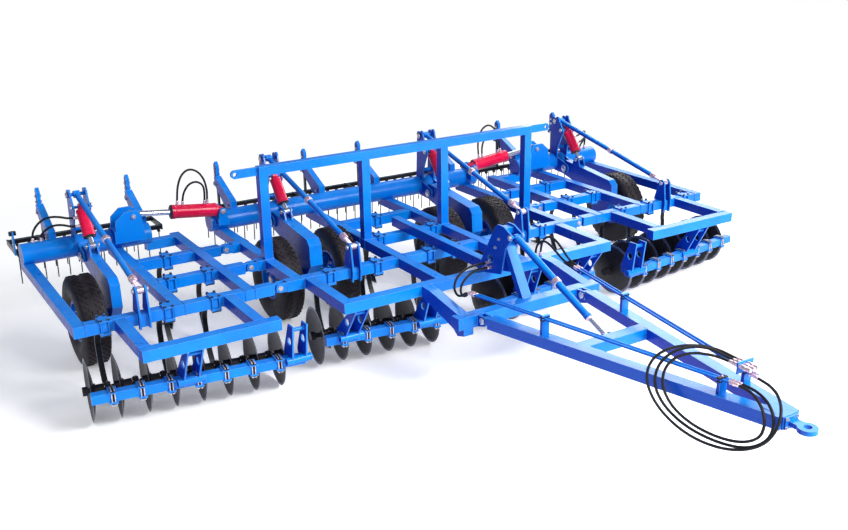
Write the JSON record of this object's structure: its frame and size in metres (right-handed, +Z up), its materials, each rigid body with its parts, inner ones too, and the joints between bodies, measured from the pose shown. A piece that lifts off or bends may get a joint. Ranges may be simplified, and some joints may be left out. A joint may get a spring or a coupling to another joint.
{
  "type": "combination cultivator",
  "caption": "Towed folding cultivator with disc gangs, spring shanks and tine harrow on depth wheels, with an A-shaped drawbar.",
  "frame": {"origin": "the point on the ground at the middle of the machine's length and width", "axes": "+Z up, -Y forward towards the hitch eye, +X to the right as seen from in front of the machine"},
  "size_m": [7.44, 7.34, 1.76],
  "materials": {
    "blue_paint": "gloss",
    "tyre": "matt",
    "red_paint": "gloss",
    "rod": "polished",
    "disc_steel": "dark, worn at the rims",
    "black_paint": "satin",
    "hose": "satin"
  },
  "bodies": {
    "frame": {"centre_frame": "blue_paint", "centre_rear_beam": "blue_paint", "fold_gantry": "blue_paint", "headstock": "blue_paint", "drop_frame": "blue_paint", "centre_stays": "blue_paint", "centre_gang_beams": "blue_paint", "centre_shanks": "black_paint", "centre_harrow": "blue_paint", "frame_hoses": "hose"},
    "drawbar": {"drawbar": "blue_paint", "hitch_eye": "blue_paint", "drawbar_pipes": "blue_paint", "hose_coil": "hose"},
    "strut_barrel": {"strut_barrel": "blue_paint"},
    "strut_rod": {"strut_rod": "rod"},
    "left_wing": {"left_wing_frame": "blue_paint", "left_wing_rear_beam": "blue_paint", "left_wing_stay": "blue_paint", "left_wing_gang_beam": "blue_paint", "left_wing_shanks": "black_paint", "left_wing_harrow": "blue_paint", "left_wing_hoses": "hose"},
    "left_wing_arm": {"left_wing_arm": "blue_paint"},
    "left_wing_wheel": {"left_wing_tyre": "tyre", "left_wing_rim": "blue_paint"},
    "left_wing_discs": {"left_wing_disc_gang": "disc_steel"},
    "left_wing_depth_barrel": {"left_wing_depth_barrel": "red_paint"},
    "left_wing_depth_rod": {"left_wing_depth_rod": "rod"},
    "left_centre_arm": {"left_centre_arm": "blue_paint"},
    "left_centre_wheel": {"left_centre_tyre": "tyre", "left_centre_rim": "blue_paint"},
    "left_centre_discs": {"left_centre_disc_gang": "disc_steel"},
    "left_centre_depth_barrel": {"left_centre_depth_barrel": "red_paint"},
    "left_centre_depth_rod": {"left_centre_depth_rod": "rod"},
    "left_fold_barrel": {"left_fold_barrel": "red_paint", "left_fold_hoses": "hose"},
    "left_fold_rod": {"left_fold_rod": "rod"},
    "right_wing": {"right_wing_frame": "blue_paint", "right_wing_rear_beam": "blue_paint", "right_wing_stay": "blue_paint", "right_wing_gang_beam": "blue_paint", "right_wing_shanks": "black_paint", "right_wing_harrow": "blue_paint", "right_wing_hoses": "hose"},
    "right_wing_arm": {"right_wing_arm": "blue_paint"},
    "right_wing_wheel": {"right_wing_tyre": "tyre", "right_wing_rim": "blue_paint"},
    "right_wing_discs": {"right_wing_disc_gang": "disc_steel"},
    "right_wing_depth_barrel": {"right_wing_depth_barrel": "red_paint"},
    "right_wing_depth_rod": {"right_wing_depth_rod": "rod"},
    "right_centre_arm": {"right_centre_arm": "blue_paint"},
    "right_centre_wheel": {"right_centre_tyre": "tyre", "right_centre_rim": "blue_paint"},
    "right_centre_discs": {"right_centre_disc_gang": "disc_steel"},
    "right_centre_depth_barrel": {"right_centre_depth_barrel": "red_paint"},
    "right_centre_depth_rod": {"right_centre_depth_rod": "rod"},
    "right_fold_barrel": {"right_fold_barrel": "red_paint", "right_fold_hoses": "hose"},
    "right_fold_rod": {"right_fold_rod": "rod"}
  },
  "joints": [
    {"name": "left_wing_fold", "type": "hinge", "parent": "frame", "child": "left_wing", "pos_m": [-1.8, 1.57, 0.77], "axis": [0, 1, 0], "range_deg": [0, 77]},
    {"name": "left_fold_barrel_pivot", "type": "hinge", "parent": "frame", "child": "left_fold_barrel", "pos_m": [-1.64, 2.72, 1.05], "axis": [0, 1, 0], "range_deg": [-0.5, 87.86]},
    {"name": "left_fold_rod_slide", "type": "slide", "parent": "left_fold_barrel", "child": "left_fold_rod", "axis": [-0.9935, 0, 0.1138], "range_m": [-0.3787, 0.001]},
    {"name": "left_wing_wheel_depth", "type": "hinge", "parent": "left_wing", "child": "left_wing_arm", "pos_m": [-3.095, 2.57, 0.86], "axis": [1, 0, 0], "range_deg": [-12, 16]},
    {"name": "left_wing_wheel_spin", "type": "hinge", "parent": "left_wing_arm", "child": "left_wing_wheel", "pos_m": [-3.34, 1.926, 0.44], "axis": [1, 0, 0], "continuous": true},
    {"name": "left_wing_depth_barrel_pivot", "type": "hinge", "parent": "left_wing", "child": "left_wing_depth_barrel", "pos_m": [-3.095, 2.64, 1.345], "axis": [1, 0, 0], "range_deg": [-0.8, 0.97]},
    {"name": "left_wing_depth_rod_slide", "type": "slide", "parent": "left_wing_depth_barrel", "child": "left_wing_depth_rod", "axis": [0, -0.6275, -0.7786], "range_m": [-0.0529, 0.0702]},
    {"name": "left_wing_discs_spin", "type": "hinge", "parent": "left_wing", "child": "left_wing_discs", "pos_m": [-1.98, 0.501, 0.28], "axis": [-0.9914, 0.1305, 0], "continuous": true},
    {"name": "left_centre_wheel_depth", "type": "hinge", "parent": "frame", "child": "left_centre_arm", "pos_m": [-1.02, 2.57, 0.86], "axis": [1, 0, 0], "range_deg": [-12, 16]},
    {"name": "left_centre_wheel_spin", "type": "hinge", "parent": "left_centre_arm", "child": "left_centre_wheel", "pos_m": [-1.02, 1.926, 0.44], "axis": [1, 0, 0], "continuous": true},
    {"name": "left_centre_depth_barrel_pivot", "type": "hinge", "parent": "frame", "child": "left_centre_depth_barrel", "pos_m": [-1.02, 2.64, 1.345], "axis": [1, 0, 0], "range_deg": [-0.8, 0.97]},
    {"name": "left_centre_depth_rod_slide", "type": "slide", "parent": "left_centre_depth_barrel", "child": "left_centre_depth_rod", "axis": [0, -0.6275, -0.7786], "range_m": [-0.0529, 0.0702]},
    {"name": "left_centre_discs_spin", "type": "hinge", "parent": "frame", "child": "left_centre_discs", "pos_m": [-0.329, 0.539, 0.28], "axis": [-0.9914, 0.1305, 0], "continuous": true},
    {"name": "right_wing_fold", "type": "hinge", "parent": "frame", "child": "right_wing", "pos_m": [1.8, 1.57, 0.77], "axis": [0, -1, 0], "range_deg": [0, 77]},
    {"name": "right_fold_barrel_pivot", "type": "hinge", "parent": "frame", "child": "right_fold_barrel", "pos_m": [1.64, 2.72, 1.05], "axis": [0, -1, 0], "range_deg": [-0.5, 87.86]},
    {"name": "right_fold_rod_slide", "type": "slide", "parent": "right_fold_barrel", "child": "right_fold_rod", "axis": [0.9935, 0, 0.1138], "range_m": [-0.3787, 0.001]},
    {"name": "right_wing_wheel_depth", "type": "hinge", "parent": "right_wing", "child": "right_wing_arm", "pos_m": [3.095, 2.57, 0.86], "axis": [1, 0, 0], "range_deg": [-12, 16]},
    {"name": "right_wing_wheel_spin", "type": "hinge", "parent": "right_wing_arm", "child": "right_wing_wheel", "pos_m": [3.34, 1.926, 0.44], "axis": [1, 0, 0], "continuous": true},
    {"name": "right_wing_depth_barrel_pivot", "type": "hinge", "parent": "right_wing", "child": "right_wing_depth_barrel", "pos_m": [3.095, 2.64, 1.345], "axis": [1, 0, 0], "range_deg": [-0.8, 0.97]},
    {"name": "right_wing_depth_rod_slide", "type": "slide", "parent": "right_wing_depth_barrel", "child": "right_wing_depth_rod", "axis": [0, -0.6275, -0.7786], "range_m": [-0.0529, 0.0702]},
    {"name": "right_wing_discs_spin", "type": "hinge", "parent": "right_wing", "child": "right_wing_discs", "pos_m": [1.98, 0.501, 0.28], "axis": [0.9914, 0.1305, 0], "continuous": true},
    {"name": "right_centre_wheel_depth", "type": "hinge", "parent": "frame", "child": "right_centre_arm", "pos_m": [1.02, 2.57, 0.86], "axis": [1, 0, 0], "range_deg": [-12, 16]},
    {"name": "right_centre_wheel_spin", "type": "hinge", "parent": "right_centre_arm", "child": "right_centre_wheel", "pos_m": [1.02, 1.926, 0.44], "axis": [1, 0, 0], "continuous": true},
    {"name": "right_centre_depth_barrel_pivot", "type": "hinge", "parent": "frame", "child": "right_centre_depth_barrel", "pos_m": [1.02, 2.64, 1.345], "axis": [1, 0, 0], "range_deg": [-0.8, 0.97]},
    {"name": "right_centre_depth_rod_slide", "type": "slide", "parent": "right_centre_depth_barrel", "child": "right_centre_depth_rod", "axis": [0, -0.6275, -0.7786], "range_m": [-0.0529, 0.0702]},
    {"name": "right_centre_discs_spin", "type": "hinge", "parent": "frame", "child": "right_centre_discs", "pos_m": [0.329, 0.539, 0.28], "axis": [0.9914, 0.1305, 0], "continuous": true},
    {"name": "drawbar_height", "type": "hinge", "parent": "frame", "child": "drawbar", "pos_m": [0, -0.715, 0.7], "axis": [1, 0, 0], "range_deg": [-6, 10], "deforming": ["frame_hoses"]},
    {"name": "strut_barrel_pivot", "type": "hinge", "parent": "frame", "child": "strut_barrel", "pos_m": [0, -0.38, 1.27], "axis": [1, 0, 0], "range_deg": [-3.91, 6.32]},
    {"name": "strut_rod_slide", "type": "slide", "parent": "strut_barrel", "child": "strut_rod", "axis": [0, -0.9193, -0.3936], "range_m": [-0.0405, 0.0668]}
  ],
  "couplings": [
    {"joint": "left_fold_barrel_pivot", "follows": "left_wing_fold", "ratio": 1.1346},
    {"joint": "left_fold_rod_slide", "follows": "left_wing_fold", "m_per_rad": -0.28104},
    {"joint": "left_wing_depth_barrel_pivot", "follows": "left_wing_wheel_depth", "ratio": 0.04192},
    {"joint": "left_wing_depth_rod_slide", "follows": "left_wing_wheel_depth", "m_per_rad": 0.24788},
    {"joint": "left_centre_depth_barrel_pivot", "follows": "left_centre_wheel_depth", "ratio": 0.04192},
    {"joint": "left_centre_depth_rod_slide", "follows": "left_centre_wheel_depth", "m_per_rad": 0.24788},
    {"joint": "right_fold_barrel_pivot", "follows": "right_wing_fold", "ratio": 1.1346},
    {"joint": "right_fold_rod_slide", "follows": "right_wing_fold", "m_per_rad": -0.28104},
    {"joint": "right_wing_depth_barrel_pivot", "follows": "right_wing_wheel_depth", "ratio": 0.04192},
    {"joint": "right_wing_depth_rod_slide", "follows": "right_wing_wheel_depth", "m_per_rad": 0.24788},
    {"joint": "right_centre_depth_barrel_pivot", "follows": "right_centre_wheel_depth", "ratio": 0.04192},
    {"joint": "right_centre_depth_rod_slide", "follows": "right_centre_wheel_depth", "m_per_rad": 0.24788},
    {"joint": "strut_barrel_pivot", "follows": "drawbar_height", "ratio": 0.60214},
    {"joint": "strut_rod_slide", "follows": "drawbar_height", "m_per_rad": 0.37674}
  ]
}
